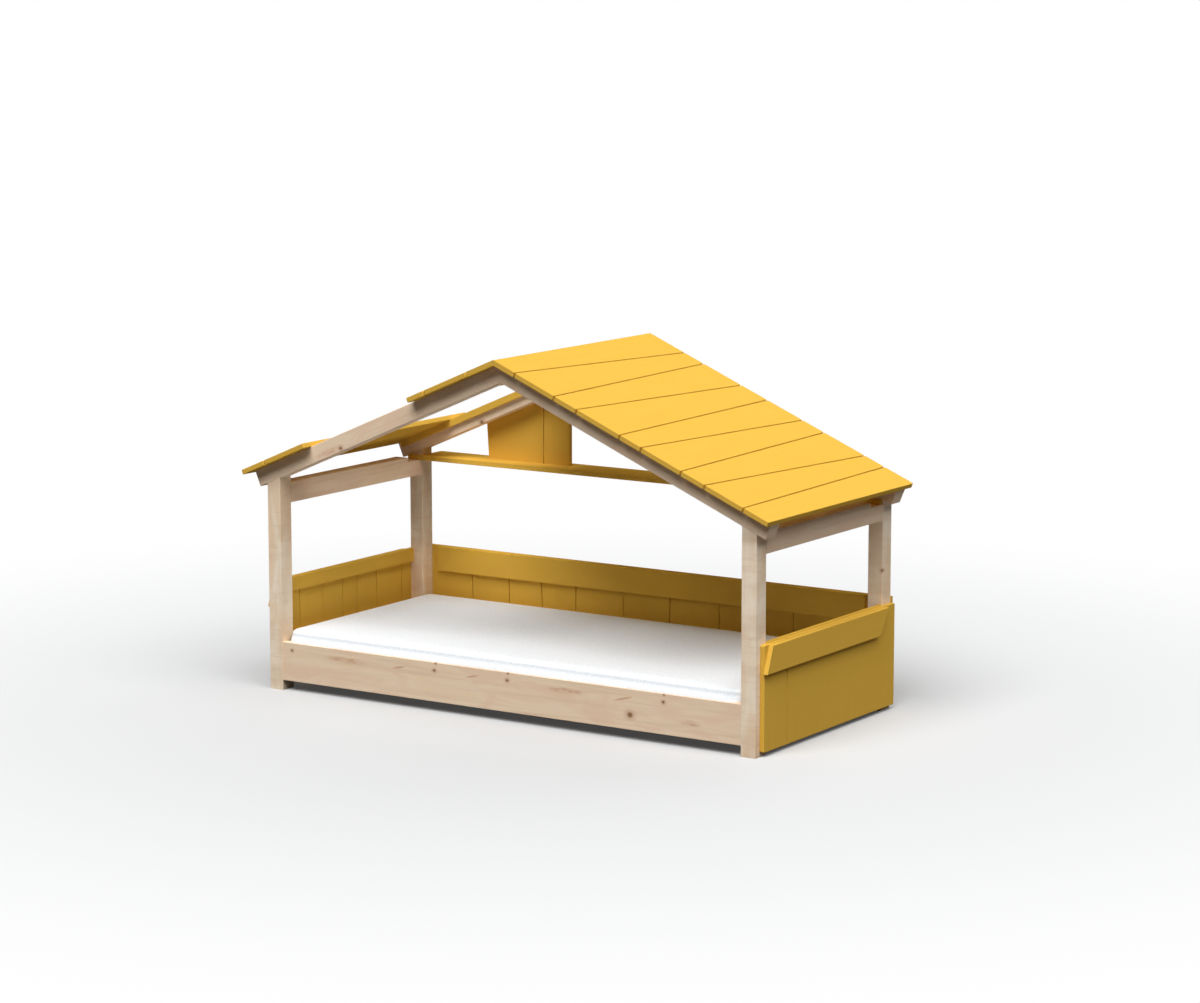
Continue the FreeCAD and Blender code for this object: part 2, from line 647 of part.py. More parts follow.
roof_span = ROOF_BACK - ROOF_FRONT
batten_end = RAFTER_END - BATTEN_TAIL_GAP - 2 * SCREW_HEAD_D
roof_places = {}
for name, side, top, bottom in roof_boards:
    side_name = "left" if side == LEFT else "right"
    for where in ("front", "back"):
        y = batten_y[where] + BATTEN_T / 2
        share = (y - ROOF_FRONT) / roof_span
        high = top[0] + (top[1] - top[0]) * share
        low = bottom[0] + (bottom[1] - bottom[0]) * share
        batten = "batten_%s_%s" % (where, side_name)
        for part in (0.25, 0.75):
            u = min(RIDGE_U + high + (low - high) * part, batten_end)
            start = slope(side, u, RAFTER_D - BATTEN_D, y)
            length = BATTEN_D + SCREW_BITE
            drive("roof_screws", start, slope_vector(side), length, [batten, name])
            roof_places.setdefault(batten, []).append(u)

for where, joint_y in (("front", POST_D), ("back", BACK_POST_Y)):
    for side_name, side in (("left", LEFT), ("right", RIGHT)):
        batten = "batten_%s_%s" % (where, side_name)
        rafter = "rafter_%s_%s" % (where, side_name)
        for i in range(BATTEN_DOWELS):
            u = clear_of(RAFTER_END * (i + 0.6) / BATTEN_DOWELS, roof_places[batten])
            spot = slope(side, u, RAFTER_D - BATTEN_D / 2, joint_y)
            peg(spot, along_y, [batten, rafter], SHORT_DOWEL_L, SHORT_DOWEL_D)

# ---- screws of the panels: into the inner rails under the end planks, into the lower rails
# ---- from inside, and into the back plank from behind
low_z = (RAIL_FLOOR_GAP + RAIL_TOP) / 2
for side_name, place, top, plank_front, seams in ends:
    x = 0 if side_name == "left" else FRAME_L
    out = -1 if side_name == "left" else 1
    boards = side_name + "_end_boards"
    high_z = top + INNER_RAIL_RISE - 2 * INNER_RAIL_H / 3
    for low, high in end_edges["left"]:
        middle = max((low[0] + high[0]) / 2, POST_D + SCREW_BITE)
        high_y = min(middle, FRAME_W - END_PLANK_BACK[0] - 2 * SCREW_HEAD_D)
        low_y = min(middle, BACK_POST_Y - SCREW_BITE)
        start = V(x + out * BOARD_T, high_y, high_z)
        names = [boards, side_name + "_inner_rail"]
        drive("end_panel_screws", start, V(-out, 0, 0), BOARD_T + SCREW_BITE, names)
        start = V(x - out * RAIL_T, low_y, low_z)
        names = [side_name + "_end_rail", boards]
        drive("end_panel_screws", start, V(out, 0, 0), RAIL_T + SCREW_BITE, names)

for low, high in back_edges:
    x = (low[0] + high[0]) / 2
    x = min(max(x, back_plank_x + SCREW_BITE), FRAME_L - back_plank_x - SCREW_BITE)
    start = V(x, FRAME_W + BOARD_T, back_plank_top - BACK_PLANK_H / 2)
    drive("back_panel_screws", start, V(0, -1, 0), BOARD_T + SCREW_BITE, ["back_boards", "back_plank"])
    start = V(x, BACK_RAIL_Y, (RAIL_FLOOR_GAP + RAIL_TOP) / 2)
    drive("back_panel_screws", start, along_y, RAIL_T + SCREW_BITE, ["back_rail", "back_boards"])

# ---- screws of the gable boards, the shelf plank, the ledgers and the slats
for name, x in (
    ("gable_board_left", (GABLE_LEFT[0] + GABLE_SEAM) / 2),
    ("gable_board_right", (GABLE_SEAM + GABLE_RIGHT) / 2),
):
    start = V(x, FRAME_W + BOARD_T, POST_H + x * TAN + RAFTER_D / (2 * COS))
    drive("gable_screws", start, V(0, -1, 0), BOARD_T + 2 * SCREW_BITE, [name, "rafter_back_left"])
    start = V(x, FRAME_W + BOARD_T / 2, REBATE_Z)
    drive("gable_screws", start, V(0, 0, 1), PLANK_T + 2 * SCREW_BITE, ["shelf_plank", name])

for side_name, x in (("left", POST_W / 2), ("right", FRAME_L - POST_W / 2)):
    start = V(x, BACK_POST_Y - BATTEN_T / 2, UPPER_RAIL_TOP)
    names = ["shelf_plank", side_name + "_upper_rail"]
    drive("shelf_screws", start, V(0, 0, -1), PLANK_T + 2 * SCREW_BITE, names)

ledger_mid = LEDGER_TOP - LEDGER_H / 2
for i in range(SLAT_COUNT - 1):
    x = slat_centres[i] + slat_step / 2
    if i % 2 == 0:
        start = V(x, FRONT_RAIL_BACK + LEDGER_T, ledger_mid)
        names = ["front_slat_ledger", "front_rail"]
        drive("ledger_screws", start, V(0, -1, 0), LEDGER_T + SCREW_BITE, names)
        start = V(x, BACK_RAIL_Y - LEDGER_T, ledger_mid)
        names = ["back_slat_ledger", "back_rail"]
        drive("ledger_screws", start, along_y, LEDGER_T + SCREW_BITE, names)
slat_ends = [
    (FRONT_RAIL_BACK + LEDGER_T / 2, "front_slat_ledger"),
    (BACK_RAIL_Y - LEDGER_T / 2, "back_slat_ledger"),
]
for x in slat_centres:
    for y, ledger in slat_ends:
        start = V(x, y, SLAT_TOP)
        drive("slat_screws", start, V(0, 0, -1), SLAT_T + SCREW_BITE, ["slats", ledger])

# ---- move everything over the origin and write it out
MIN_X = MID_L - LEFT_EAVE * COS
MAX_X = MID_L + RIGHT_EAVE * COS
MIN_Y = ROOF_FRONT
MAX_Y = max(PLANK_BACK, ROOF_BACK)
SHIFT = V(-(MIN_X + MAX_X) / 2, -(MIN_Y + MAX_Y) / 2, 0)

os.makedirs("parts", exist_ok=True)
pieces.update(fasteners)
total = 0
for name in sorted(pieces):
    solids = []
    for shape in pieces[name]:
        solids.extend(shape.Solids)
    for solid in solids:
        if not solid.isValid() or solid.Volume <= 0:
            print("BAD solid in", name)
    shape = solids[0] if len(solids) == 1 else Part.makeCompound(solids)
    shape.translate(SHIFT)
    shape.exportStep("parts/%s.step" % name)
    total += len(solids)
print("nodes", len(pieces), "solids", total, "shift", SHIFT)
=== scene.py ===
"""Looks of a child's house frame bed: whitewashed pine, yellow painted boards, white mattress."""
import math
import bmesh
import bpy
from mathutils import Euler, Matrix, Vector, noise


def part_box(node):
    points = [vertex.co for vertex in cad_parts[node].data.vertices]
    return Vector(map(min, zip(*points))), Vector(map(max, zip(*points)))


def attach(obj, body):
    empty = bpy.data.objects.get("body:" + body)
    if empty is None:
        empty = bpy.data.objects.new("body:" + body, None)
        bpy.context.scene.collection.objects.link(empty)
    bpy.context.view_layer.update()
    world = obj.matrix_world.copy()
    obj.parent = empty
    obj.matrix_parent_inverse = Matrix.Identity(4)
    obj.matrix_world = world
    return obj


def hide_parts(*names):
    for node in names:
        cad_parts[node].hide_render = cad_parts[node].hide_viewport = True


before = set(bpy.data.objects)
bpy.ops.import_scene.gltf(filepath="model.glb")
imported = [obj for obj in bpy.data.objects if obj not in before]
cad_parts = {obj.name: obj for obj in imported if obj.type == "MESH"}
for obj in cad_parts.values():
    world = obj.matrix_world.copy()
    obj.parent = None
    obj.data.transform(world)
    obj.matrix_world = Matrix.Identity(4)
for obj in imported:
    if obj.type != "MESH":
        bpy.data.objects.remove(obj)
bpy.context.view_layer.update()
scene = bpy.context.scene
scene.view_settings.view_transform = "Standard"

ROOF_PITCH = 23.0        # degrees
WHITE = (1.0, 1.0, 1.0, 1.0)

# turns that lay a piece's length along the X of its pattern
ALONG_X = (0.0, 0.0, 0.0)
ALONG_Y = (0.0, 0.0, math.radians(-90))
ALONG_Z = (0.0, math.radians(90), 0.0)
ALONG_LEFT_SLOPE = (0.0, math.radians(ROOF_PITCH), 0.0)
ALONG_RIGHT_SLOPE = (0.0, math.radians(-ROOF_PITCH), 0.0)
UNSHIFTED = (0.0, 0.0, 0.0)


# ---------------------------------------------------------------- colours and nodes
def shown(red, green, blue):
    """A colour from the 0 to 255 values that a picture of it shows."""
    channels = [c / 255 for c in (red, green, blue)]
    # the screen's own curve, taken back out
    linear = [c / 12.92 if c < 0.04045 else ((c + 0.055) / 1.055) ** 2.4 for c in channels]
    return (*linear, 1.0)


class Value:
    """A node's output. Where it is a number, arithmetic on it adds Math nodes."""

    def __init__(self, nodes, socket):
        self.nodes = nodes
        self.socket = socket

    def math(self, operation, other, swapped=False):
        """A Math node on this number and another; swapped puts the other one first."""
        first, second = (other, self) if swapped else (self, other)
        return self.nodes.node("ShaderNodeMath", {"operation": operation}, {0: first, 1: second})

    def __add__(self, other):
        return self.math("ADD", other)

    def __sub__(self, other):
        return self.math("SUBTRACT", other)

    def __rsub__(self, other):
        return self.math("SUBTRACT", other, swapped=True)

    def __mul__(self, other):
        return self.math("MULTIPLY", other)

    __radd__ = __add__
    __rmul__ = __mul__

    def between(self, start, full):
        """A smooth step from 0 at start to 1 at full; start may be the larger of the two."""
        rising = start < full
        inputs = {
            "Value": self, "From Min": min(start, full), "From Max": max(start, full),
            "To Min": 0.0 if rising else 1.0, "To Max": 1.0 if rising else 0.0,
        }
        return self.nodes.node("ShaderNodeMapRange", {"interpolation_type": "SMOOTHSTEP"}, inputs)


class Nodes:
    """The nodes of a material or of the sky, and the one method that adds to them."""

    def __init__(self, owner):
        owner.use_nodes = True
        self.tree = owner.node_tree

    def feed(self, socket, value):
        """Links a node's output to a socket, or sets the socket to a plain value."""
        if isinstance(value, Value):
            self.tree.links.new(value.socket, socket)
        else:
            socket.default_value = value

    def node(self, kind, settings=None, inputs=None, output=0):
        """Adds a node: its settings are set first, then the values or links of its sockets."""
        new = self.tree.nodes.new(kind)
        for key, value in (settings or {}).items():
            setattr(new, key, value)
        for key, value in (inputs or {}).items():
            self.feed(new.inputs[key], value)
        return Value(self, new.outputs[output])


class Finish(Nodes):
    """A material with its shader, and the patterns that feed it."""

    def __init__(self, name):
        self.material = bpy.data.materials.new(name)
        super().__init__(self.material)
        self.shader = self.tree.nodes["Principled BSDF"]

    def set(self, **inputs):
        """Sets or links sockets of the shader; an underscore stands for a space."""
        for key, value in inputs.items():
            self.feed(self.shader.inputs[key.replace("_", " ")], value)

    def place(self):
        """The piece's own coordinates, in metres."""
        return self.node("ShaderNodeTexCoord", output="Object")

    def turned(self, turn, shift, scale):
        """The piece's own coordinates, turned so that its length lies along X, then scaled."""
        inputs = {"Vector": self.place(), "Rotation": Euler(turn), "Location": shift}
        along = self.node("ShaderNodeMapping", {"vector_type": "POINT"}, inputs)
        inputs = {"Vector": along, "Scale": scale}
        return self.node("ShaderNodeMapping", {"vector_type": "POINT"}, inputs)

    def grain(self, pattern, turn=ALONG_X, shift=UNSHIFTED):
        """Noise drawn out along a piece; the pattern is one of the noises listed below."""
        along, across, detail, roughness, distortion = pattern
        inputs = {
            "Vector": self.turned(turn, shift, (along, across, across)), "Scale": 1.0,
            "Detail": detail, "Roughness": roughness, "Distortion": distortion,
        }
        return self.node("ShaderNodeTexNoise", None, inputs)

    def mix(self, factor, first, second):
        """A mix of two colours: sockets 6 and 7 of a Mix node, and its output 2, are for colour."""
        settings = {"data_type": "RGBA"}
        return self.node("ShaderNodeMix", settings, {0: factor, 6: first, 7: second}, output=2)

    def bump(self, height, strength, distance):
        """A relief; its distance is in metres."""
        inputs = {"Height": height, "Strength": strength, "Distance": distance}
        return self.node("ShaderNodeBump", None, inputs)


# ---------------------------------------------------------------- whitewashed pine
PINE_PALE = shown(253, 237, 214)
PINE_WARM = shown(246, 219, 187)
PINE_PINK = shown(240, 206, 174)
PINE_LATE = shown(224, 194, 162)
PINE_ROSY = shown(216, 168, 130)
KNOT_CORE = shown(142, 96, 62)
KNOT_RING = shown(206, 160, 122)

# noises, as (scale along the piece, scale across it, detail, roughness, distortion)
CLOUDS = (3.2, 13.0, 4.0, 0.55, 0.9)
STREAKS = (1.6, 52.0, 5.0, 0.66, 0.6)
FIBRES = (12.0, 380.0, 2.0, 0.6, 0.0)
TINTS = (11.0, 4.0, 2.0, 0.5, 0.0)           # up the length of a post
WISPS = (60.0, 9.0, 3.0, 0.6, 0.3)           # across a post
STROKES = (26.0, 95.0, 2.0, 0.6, 0.3)        # what a row of flecks is made of
FRAY = (45.0, 150.0, 3.0, 0.6, 0.0)          # on the rims of knots and marks
NOISE_MIDDLE = 0.5

# stains, as (value where it starts, value where it is full, strength, tint)
WARM_STAIN = (0.36, 0.66, 1.00, PINE_WARM)
PINK_STAIN = (0.60, 0.42, 0.80, PINE_PINK)
STREAK_STAIN = (0.42, 0.74, 0.60, PINE_LATE)
FAINT_STREAK_STAIN = (0.42, 0.74, 0.20, PINE_LATE)
TINT_STAIN = (0.44, 0.62, 0.40, PINE_LATE)
WISP_STAIN = (0.50, 0.78, 0.30, PINE_ROSY)
# these go by the distance from a spot's middle, which is 1 on its rim
MARK_STAIN = (1.35, 0.65, 0.80, PINE_ROSY)
FLECK_STAIN = (1.15, 0.20, 0.90, PINE_ROSY)
RING_STAIN = (2.90, 0.80, 0.50, KNOT_RING)
CORE_STAIN = (1.25, 0.35, 0.92, KNOT_CORE)

MARK_FRAY = 0.6
KNOT_FRAY = 0.7
KNOT_STRETCH = 1.2       # a knot's width over its height
FLECK_EDGES = (0.40, 0.62)
FLECK_GAPS = 0.35        # how much of the stain is left in the gaps between the flecks

PINE_ROUGHNESS = 0.55
PINE_RELIEF = 0.10
PINE_GLOSS = 0.04
GRAIN_ROUGHNESS = 0.12   # what the grain adds to the roughness of pine and of paint
GRAIN_DEPTH = 0.0005

# knots on the front faces, as (x, z, radius) in metres
RAIL_KNOTS = [
    (-0.9477, 0.1558, 0.0050),
    (-0.2913, 0.1547, 0.0055),
    (0.0311, 0.1553, 0.0055),
    (0.6935, 0.1544, 0.0055),
    (0.5555, 0.0925, 0.0105),
    (-0.2856, 0.1815, 0.0035),
    (0.0344, 0.1811, 0.0035),
    (0.6963, 0.1811, 0.0035),
]
RAFTER_KNOTS = {
    "front_left": [(-0.7061, 0.9407, 0.0065)],
    "back_left": [(-0.7032, 0.9354, 0.0075)],
}
POST_KNOTS = {
    "back_left": [(-0.9595, 0.5300, 0.0060)],
    "back_right": [(1.0690, 0.5224, 0.0060)],
}

# slanting grain marks, as (x, z, half length, slant in degrees)
RAIL_MARKS = [
    (-0.452, 0.148, 0.038, 13.0),
    (-0.122, 0.152, 0.034, 13.0),
    (0.526, 0.147, 0.050, 15.0),
]
MARK_HALF_HEIGHT = 0.0052

# rows of rosy flecks, as the marks
RAIL_FLECKS = [
    (-0.693, 0.147, 0.105, 0.0),
    (0.283, 0.147, 0.105, 0.0),
    (0.800, 0.091, 0.055, 0.0),
]
RAFTER_FLECKS = {"front_left": [(-0.760, 0.925, 0.075, ROOF_PITCH)]}
FLECK_HALF_HEIGHT = 0.014

# where the front faces that carry knots, marks and flecks lie, as y
FRONT_FACE = -0.4935     # front posts and rafters
RAIL_FACE = -0.4913
BACK_FACE = 0.4060       # back posts and rafters
SPOT_DEPTH = 0.012       # how far they go into the wood behind the face


def spot(finish, face, x, z, half_x, half_z, slant=0.0):
    """0 at a place on a front face and 1 on the rim of a slanting ellipse around it."""
    inputs = {
        "Vector": finish.place(), "Location": (x, face, z),
        "Rotation": (0.0, math.radians(-slant), 0.0), "Scale": (half_x, SPOT_DEPTH, half_z),
    }
    local = finish.node("ShaderNodeMapping", {"vector_type": "TEXTURE"}, inputs)
    return finish.node("ShaderNodeVectorMath", {"operation": "LENGTH"}, {0: local}, output="Value")


def spots(finish, face, places, half_height):
    """The spots of a list of marks or rows of flecks."""
    return [spot(finish, face, x, z, half, half_height, slant) for x, z, half, slant in places]


def stained(finish, colour, patterns, stain, share=1.0):
    """Stains a colour wherever one of the patterns says so; share thins the stain."""
    start, full, strength, tint = stain
    masks = [pattern.between(start, full) for pattern in patterns]
    most = masks[0]
    for mask in masks[1:]:
        most = most.math("MAXIMUM", mask)
    return finish.mix(most * (share * strength), colour, tint)


def pine(name, turn, shift, face=0.0, knots=(), marks=(), flecks=(), wisps=False):
    """Whitewashed pine: soft clouds and faint streaks along the piece, with knots under the wash.

    The posts' wood has faint wisps across it and soft changes of tint up its length instead.
    """
    finish = Finish(name)
    clouds = finish.grain(CLOUDS, turn, shift)
    streaks = finish.grain(STREAKS, turn, shift)
    fibres = finish.grain(FIBRES, turn, shift)
    colour = stained(finish, PINE_PALE, [clouds], WARM_STAIN)
    if wisps:
        colour = stained(finish, colour, [streaks], FAINT_STREAK_STAIN)
        colour = stained(finish, colour, [finish.grain(TINTS, turn, shift)], TINT_STAIN)
        colour = stained(finish, colour, [finish.grain(WISPS, turn, shift)], WISP_STAIN)
    else:
        colour = stained(finish, colour, [streaks], STREAK_STAIN)
        colour = stained(finish, colour, [clouds], PINK_STAIN)
    if marks or knots:
        fray = finish.grain(FRAY, turn, shift)
    if marks:
        rims = [rim + fray * MARK_FRAY for rim in spots(finish, face, marks, MARK_HALF_HEIGHT)]
        colour = stained(finish, colour, rims, MARK_STAIN)
    if flecks:
        rims = spots(finish, face, flecks, FLECK_HALF_HEIGHT)
        strokes = finish.grain(STROKES, turn, shift).between(*FLECK_EDGES)
        share = FLECK_GAPS + strokes * (1 - FLECK_GAPS)
        colour = stained(finish, colour, rims, FLECK_STAIN, share)
    if knots:
        rims = [spot(finish, face, x, z, KNOT_STRETCH * radius, radius) for x, z, radius in knots]
        rims = [rim + (fray - NOISE_MIDDLE) * KNOT_FRAY for rim in rims]
        colour = stained(finish, colour, rims, RING_STAIN)
        colour = stained(finish, colour, rims, CORE_STAIN)
    finish.set(Base_Color=colour, Roughness=PINE_ROUGHNESS + streaks * GRAIN_ROUGHNESS)
    finish.set(Normal=finish.bump((fibres + streaks) * 0.5, PINE_RELIEF, GRAIN_DEPTH))
    finish.set(Specular_IOR_Level=PINE_GLOSS)
    return finish.material


# ---------------------------------------------------------------- yellow paint
YELLOW = shown(226, 180, 75)
YELLOW_DEEP = shown(221, 174, 68)

PAINT_GRAIN = (3.0, 60.0, 4.0, 0.6, 0.3)
PAINT_FIBRES = (14.0, 420.0, 2.0, 0.6, 0.0)
PAINT_CLOUDS = (1.3, 3.0, 2.0, 0.5, 0.0)
PAINT_GRAIN_EDGES = (0.40, 0.75)
DEEP_FROM_GRAIN = 0.35   # how much of the deeper yellow the grain and the clouds bring
DEEP_FROM_CLOUDS = 0.30
GRAIN_SHARE = 0.7        # of the paint's relief; the fibres have the rest

PAINT_ROUGHNESS = 0.42
PAINT_RELIEF = 0.06
PAINT_GLOSS = 0.0


def painted(name, turn, shift):
    """Yellow paint on planed boards: even colour, with the grain just showing in its surface."""
    finish = Finish(name)
    grain = finish.grain(PAINT_GRAIN, turn, shift)
    fibres = finish.grain(PAINT_FIBRES, turn, shift)
    clouds = finish.grain(PAINT_CLOUDS, turn, shift)
    deep = grain.between(*PAINT_GRAIN_EDGES) * DEEP_FROM_GRAIN + clouds * DEEP_FROM_CLOUDS
    relief = grain * GRAIN_SHARE + fibres * (1 - GRAIN_SHARE)
    finish.set(Base_Color=finish.mix(deep, YELLOW, YELLOW_DEEP))
    finish.set(Roughness=PAINT_ROUGHNESS + grain * GRAIN_ROUGHNESS)
    finish.set(Normal=finish.bump(relief, PAINT_RELIEF, GRAIN_DEPTH))
    finish.set(Specular_IOR_Level=PAINT_GLOSS)
    return finish.material


# ---------------------------------------------------------------- hidden parts
PLANED_STREAKS = (2.0, 40.0, 5.0, 0.6, 0.5)
PLANED_SHIFT = (0.3, 0.0, 0.0)
GROWTH_RINGS = (0.8, 20.0, 20.0)
GROWTH_DISTORTION = 6.0
GROWTH_DETAIL = 2.0
STREAK_SHARE = 0.6       # of a planed piece's colour; the growth rings have the rest
PLANED_ROUGHNESS = 0.6
PLANED_RELIEF = 0.1
# light and dark wood
SLAT_TINTS = (shown(226, 198, 152), shown(205, 166, 112))
LEDGER_TINTS = (shown(224, 194, 148), shown(200, 160, 108))
BEECH_TINTS = (shown(214, 178, 138), shown(190, 148, 108))

ZINC_DARK = shown(186, 188, 192)
ZINC_LIGHT = shown(214, 215, 217)
ZINC_MOTTLE = (600.0, 600.0, 3.0, 0.5, 0.0)
ZINC_ROUGHNESS = 0.28
MOTTLE_ROUGHNESS = 0.2


def planed(name, turn, light, dark):
    """Bare planed wood of the slats, ledgers and dowels."""
    finish = Finish(name)
    streaks = finish.grain(PLANED_STREAKS, turn, PLANED_SHIFT)
    settings = {"wave_type": "BANDS", "bands_direction": "DIAGONAL"}
    inputs = {
        "Vector": finish.turned(turn, UNSHIFTED, GROWTH_RINGS), "Scale": 1.0,
        "Distortion": GROWTH_DISTORTION, "Detail": GROWTH_DETAIL,
    }
    rings = finish.node("ShaderNodeTexWave", settings, inputs, output="Fac")
    darker = streaks * STREAK_SHARE + rings * (1 - STREAK_SHARE)
    finish.set(Base_Color=finish.mix(darker, light, dark), Roughness=PLANED_ROUGHNESS)
    finish.set(Normal=finish.bump(streaks, PLANED_RELIEF, GRAIN_DEPTH))
    return finish.material


def zinc():
    """Zinc plated steel of the screws and the corner angles."""
    finish = Finish("zinc_plate")
    mottle = finish.grain(ZINC_MOTTLE)
    finish.set(Base_Color=finish.mix(mottle, ZINC_DARK, ZINC_LIGHT))
    finish.set(Metallic=1.0, Roughness=ZINC_ROUGHNESS + mottle * MOTTLE_ROUGHNESS)
    return finish.material


# ---------------------------------------------------------------- the pieces get their finishes
# where in its pattern a piece starts, so that like pieces don't look the same
SHIFT_STEP = (0.37, 0.71, 1.13)
SHIFTS = [tuple(step * i for step in SHIFT_STEP) for i in range(1, 11)]
CORNERS = ("front_left", "front_right", "back_left", "back_right")


def dress(nodes, material):
    """Gives CAD pieces their finish."""
    for node in nodes:
        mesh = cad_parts[node].data
        mesh.materials.clear()
        mesh.materials.append(material)


def named(*words):
    """The CAD pieces with one of the words in their names."""
    return [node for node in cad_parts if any(word in node for word in words)]


for i, where in enumerate(CORNERS):
    face = FRONT_FACE if where.startswith("front") else BACK_FACE
    slope = ALONG_LEFT_SLOPE if where.endswith("left") else ALONG_RIGHT_SLOPE
    post_pine = pine(
        "pine_post_" + where, ALONG_Z, SHIFTS[i], face, POST_KNOTS.get(where, ()), wisps=True
    )
    rafter_pine = pine(
        "pine_rafter_" + where, slope, SHIFTS[i + len(CORNERS)], face,
        RAFTER_KNOTS.get(where, ()), flecks=RAFTER_FLECKS.get(where, ()),
    )
    dress(["post_" + where], post_pine)
    dress(["rafter_" + where], rafter_pine)
    dress(["batten_" + where], painted("paint_batten_" + where, slope, SHIFTS[i]))

rail_pine = pine(
    "pine_front_rail", ALONG_X, SHIFTS[8], RAIL_FACE, RAIL_KNOTS, RAIL_MARKS, RAIL_FLECKS
)
dress(["front_rail"], rail_pine)
dress(["back_rail"], pine("pine_back_rail", ALONG_X, SHIFTS[9]))
dress(named("end_rail", "upper_rail"), pine("pine_end_rails", ALONG_Y, SHIFTS[2]))

dress(named("roof_board"), painted("paint_roof", ALONG_Y, SHIFTS[0]))
dress(["shelf_plank", "back_plank"], painted("paint_planks", ALONG_X, SHIFTS[1]))
dress(named("end_plank", "inner_rail"), painted("paint_end_planks", ALONG_Y, SHIFTS[2]))
panel_paint = painted("paint_panels", ALONG_Z, SHIFTS[3])
dress(named("end_boards", "back_boards", "gable_board"), panel_paint)

dress(["slats"], planed("pine_slats", ALONG_Y, *SLAT_TINTS))
dress(named("slat_ledger"), planed("pine_ledgers", ALONG_X, *LEDGER_TINTS))
dress(["dowels"], planed("beech_dowels", ALONG_X, *BEECH_TINTS))
dress(named("_screws", "corner_brackets"), zinc())


# ---------------------------------------------------------------- mattress
COVER_WHITE = shown(244, 248, 252)
COVER_SHADE = shown(230, 235, 240)
KNIT_LOOPS = (300.0, 460.0, 300.0)           # loops in a metre, along x, y and z
COVER_SLACK = (16.0, 16.0, 3.0, 0.5, 0.0)
COVER_SPECKLE = (210.0, 210.0, 2.0, 0.7, 0.0)
SPECKLE_EDGES = (0.38, 0.62)
COVER_ROUGHNESS = 0.85
SPECKLE_ROUGHNESS = 0.1
COVER_SHEEN = 0.15
COVER_GLOSS = 0.2
COVER_RELIEF = 0.25
COVER_DEPTH = 0.0012
KNIT_RISE, SLACK_RISE, SPECKLE_RISE = 0.4, 1.2, 0.5      # shares of the cover's relief

CORNER_ROUND = 0.045     # the mattress's corners, seen from above
ROLL_WIDTH = 0.040       # the top edge rolls over from this far inside the border
ROLL_DEPTH = 0.020
FOOT_ROUND = 0.017       # the bottom edge
SEAM_DEPTH = 0.0028      # the border is drawn in where the cover's top is sewn to it
SEAM_HALF = 0.0045
SEAM_LEVEL = 0.0225      # below the top
BORDER_SWELL = 0.024     # from the seam down to where the border stands out furthest
OVERHANG = 0.027         # the front swells forward over the rail's top
SEAM_OVERHANG = 0.30     # the share of it that the border has at the seam
FRONT_FADE = 40          # the higher, the closer to its two ends the swelling fades out
# two levels on the block; the crown then lowers the upper half of the border by CROWN and
# TOP_DROP, so the swelling's underside ends 2 to 3 mm below the rail's top, hidden in the rail
LIP_GAP = 0.0012         # from the rail's top to where the swelling starts
LIP_HEIGHT = 0.0016      # from there to where it is fully out
SIDE_DRAW = 0.0020       # the sides draw in this far between the corners
CROWN = 0.0045           # the top's middle above its rim
TOP_DROP = 0.0008        # keeps the ripples below the block's top
RIPPLE_HEIGHT = 0.0007
RIPPLE_SCALE = 5.0
RIPPLE_LAYER = 0.3
SMOOTHING = 0.3

# cuts: their distances from an edge, then the spacing between them further in
NEAR_EDGE = [0.001, 0.003, 0.006, 0.010, 0.015, 0.021, 0.028, 0.036, 0.045, 0.058]
PLAN_SPACING = 0.022
HEIGHT_SPACING = 0.008


def cover():
    """White knitted mattress cover."""
    finish = Finish("mattress_knit")
    loops = {"Vector": finish.turned(ALONG_X, UNSHIFTED, KNIT_LOOPS), "Scale": 1.0}
    knit = finish.node("ShaderNodeTexVoronoi", {"feature": "F1"}, loops, output="Distance")
    slack = finish.grain(COVER_SLACK)
    speckle = finish.grain(COVER_SPECKLE)
    relief = knit * KNIT_RISE + slack * SLACK_RISE + speckle * SPECKLE_RISE
    finish.set(Base_Color=finish.mix(speckle.between(*SPECKLE_EDGES), COVER_WHITE, COVER_SHADE))
    finish.set(Roughness=COVER_ROUGHNESS + speckle * SPECKLE_ROUGHNESS)
    finish.set(Normal=finish.bump(relief, COVER_RELIEF, COVER_DEPTH))
    finish.set(Sheen_Weight=COVER_SHEEN, Specular_IOR_Level=COVER_GLOSS)
    return finish.material


def clamp(value, least=0.0, most=1.0):
    """The value, held between two limits."""
    return max(least, min(most, value))


def cut_places(low, high, spacing):
    """Places for cuts between low and high, close together near both ends."""
    inner_low = low + NEAR_EDGE[-1]
    inner_high = high - NEAR_EDGE[-1]
    count = round((inner_high - inner_low) / spacing)
    places = [low + edge for edge in NEAR_EDGE] + [high - edge for edge in NEAR_EDGE]
    places += [inner_low + (inner_high - inner_low) * i / count for i in range(1, count)]
    return places


def cut_block(low, high, rail_top):
    """A block of the mattress's size, cut finely where its shape will bend."""
    bm = bmesh.new()
    block = Matrix.Translation((low + high) / 2) @ Matrix.Diagonal((*(high - low), 1.0))
    bmesh.ops.create_cube(bm, size=1.0, matrix=block)
    lip = [rail_top + LIP_GAP, rail_top + LIP_GAP + LIP_HEIGHT]
    cuts = [
        cut_places(low.x, high.x, PLAN_SPACING),
        cut_places(low.y, high.y, PLAN_SPACING),
        cut_places(low.z, high.z, HEIGHT_SPACING) + lip,
    ]
    for axis, places in enumerate(cuts):
        normal = Vector((0.0, 0.0, 0.0))
        normal[axis] = 1.0
        for place in places:
            geometry = bm.verts[:] + bm.edges[:] + bm.faces[:]
            bmesh.ops.bisect_plane(bm, geom=geometry, plane_co=normal * place, plane_no=normal)
    return bm


